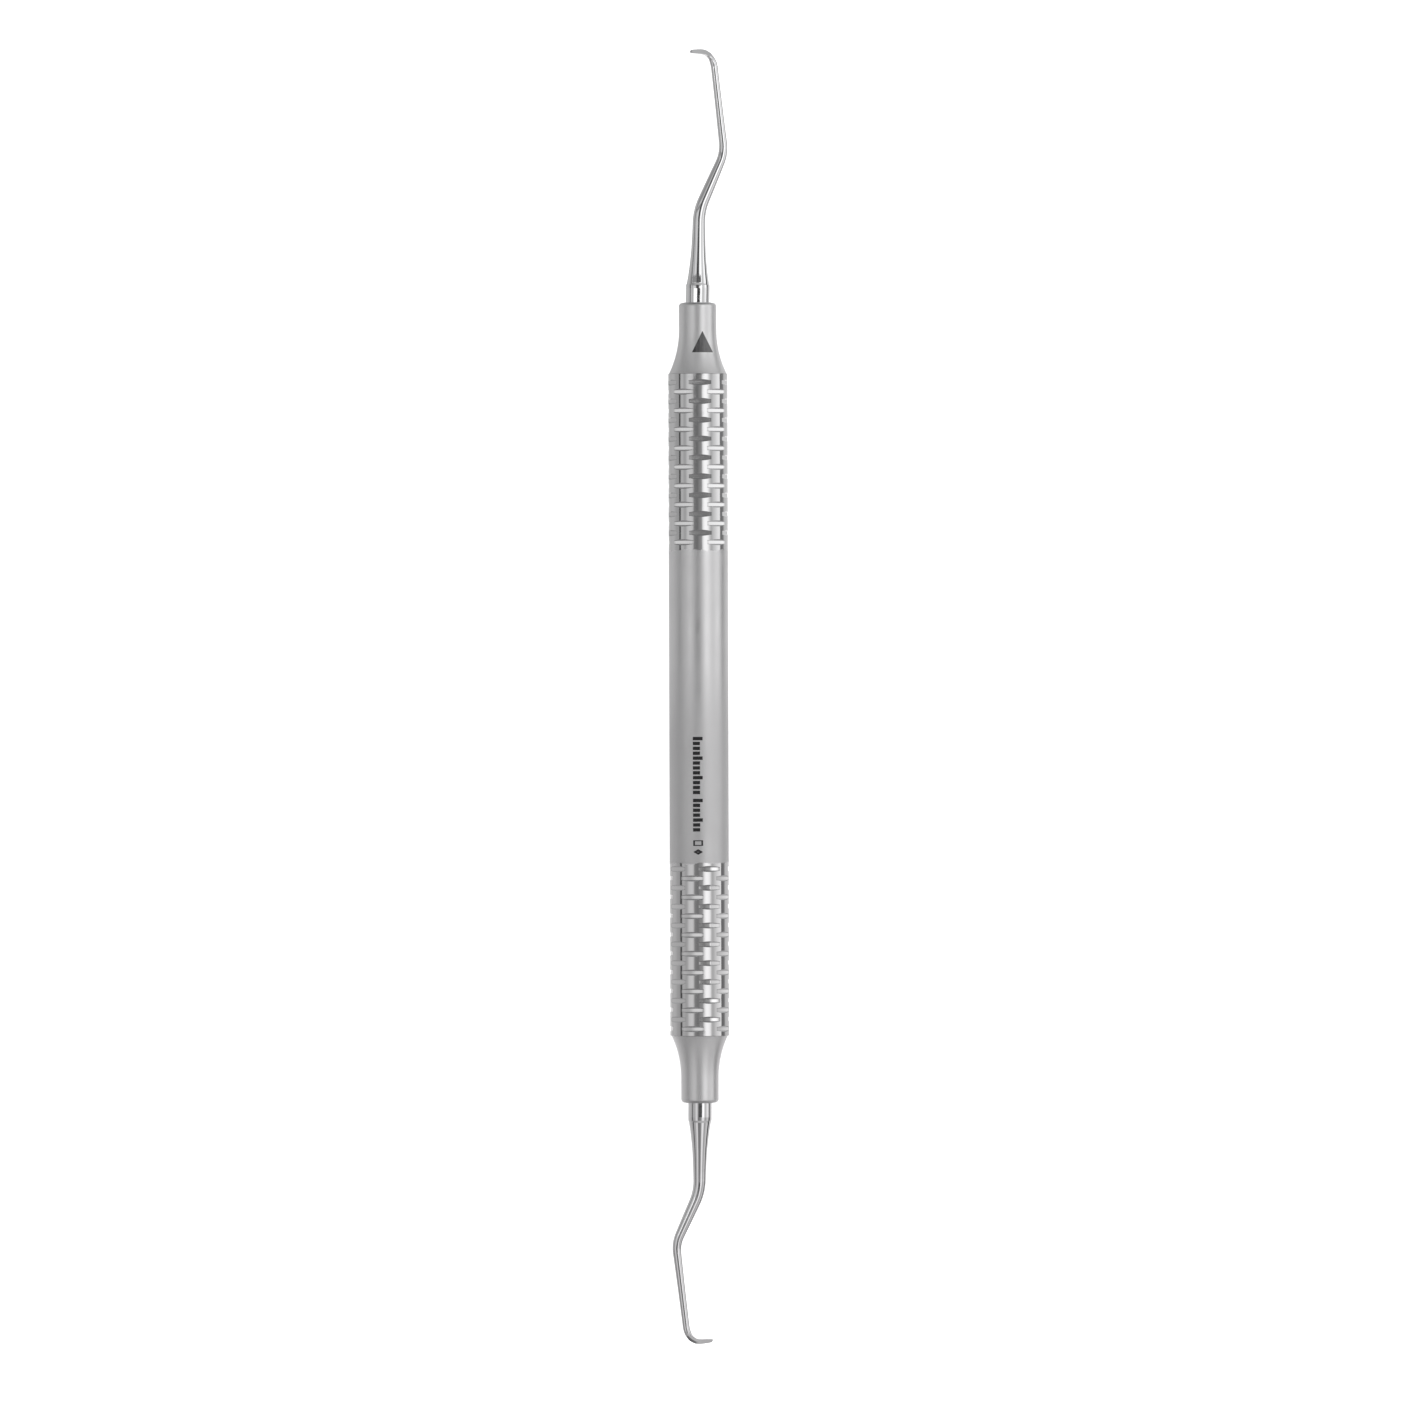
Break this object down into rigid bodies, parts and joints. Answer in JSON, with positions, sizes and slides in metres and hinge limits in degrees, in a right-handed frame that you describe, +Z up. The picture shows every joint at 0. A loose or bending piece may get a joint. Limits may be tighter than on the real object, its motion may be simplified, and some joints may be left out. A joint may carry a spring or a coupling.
{
  "type": "hand scaler",
  "caption": "Double-ended dental hand scaler: a hollow round steel handle with two grooved grips, tapered necks and mirror-image bent shanks ending in pointed sickle blades.",
  "frame": {"origin": "on the tray plane, under the middle of the handle, in the middle of the handle's lowest flat", "axes": "+X along the handle towards the end with the arrow mark, +Y to the left seen from above with +X pointing away, +Z up from the tray"},
  "size_m": [0.175, 0.0081, 0.008],
  "materials": {
    "handle_steel": "satin blasted stainless steel between the grips, polished on the two grooved grips",
    "neck_steel": "satin blasted stainless steel",
    "tip_steel": "mirror-polished hardened stainless steel",
    "laser_mark": "dark laser-marked oxide, matte"
  },
  "bodies": {
    "root": {"handle_tube": "handle_steel", "upper_neck": "neck_steel", "lower_neck": "neck_steel", "upper_tip": "tip_steel", "lower_tip": "tip_steel"}
  },
  "joints": []
}
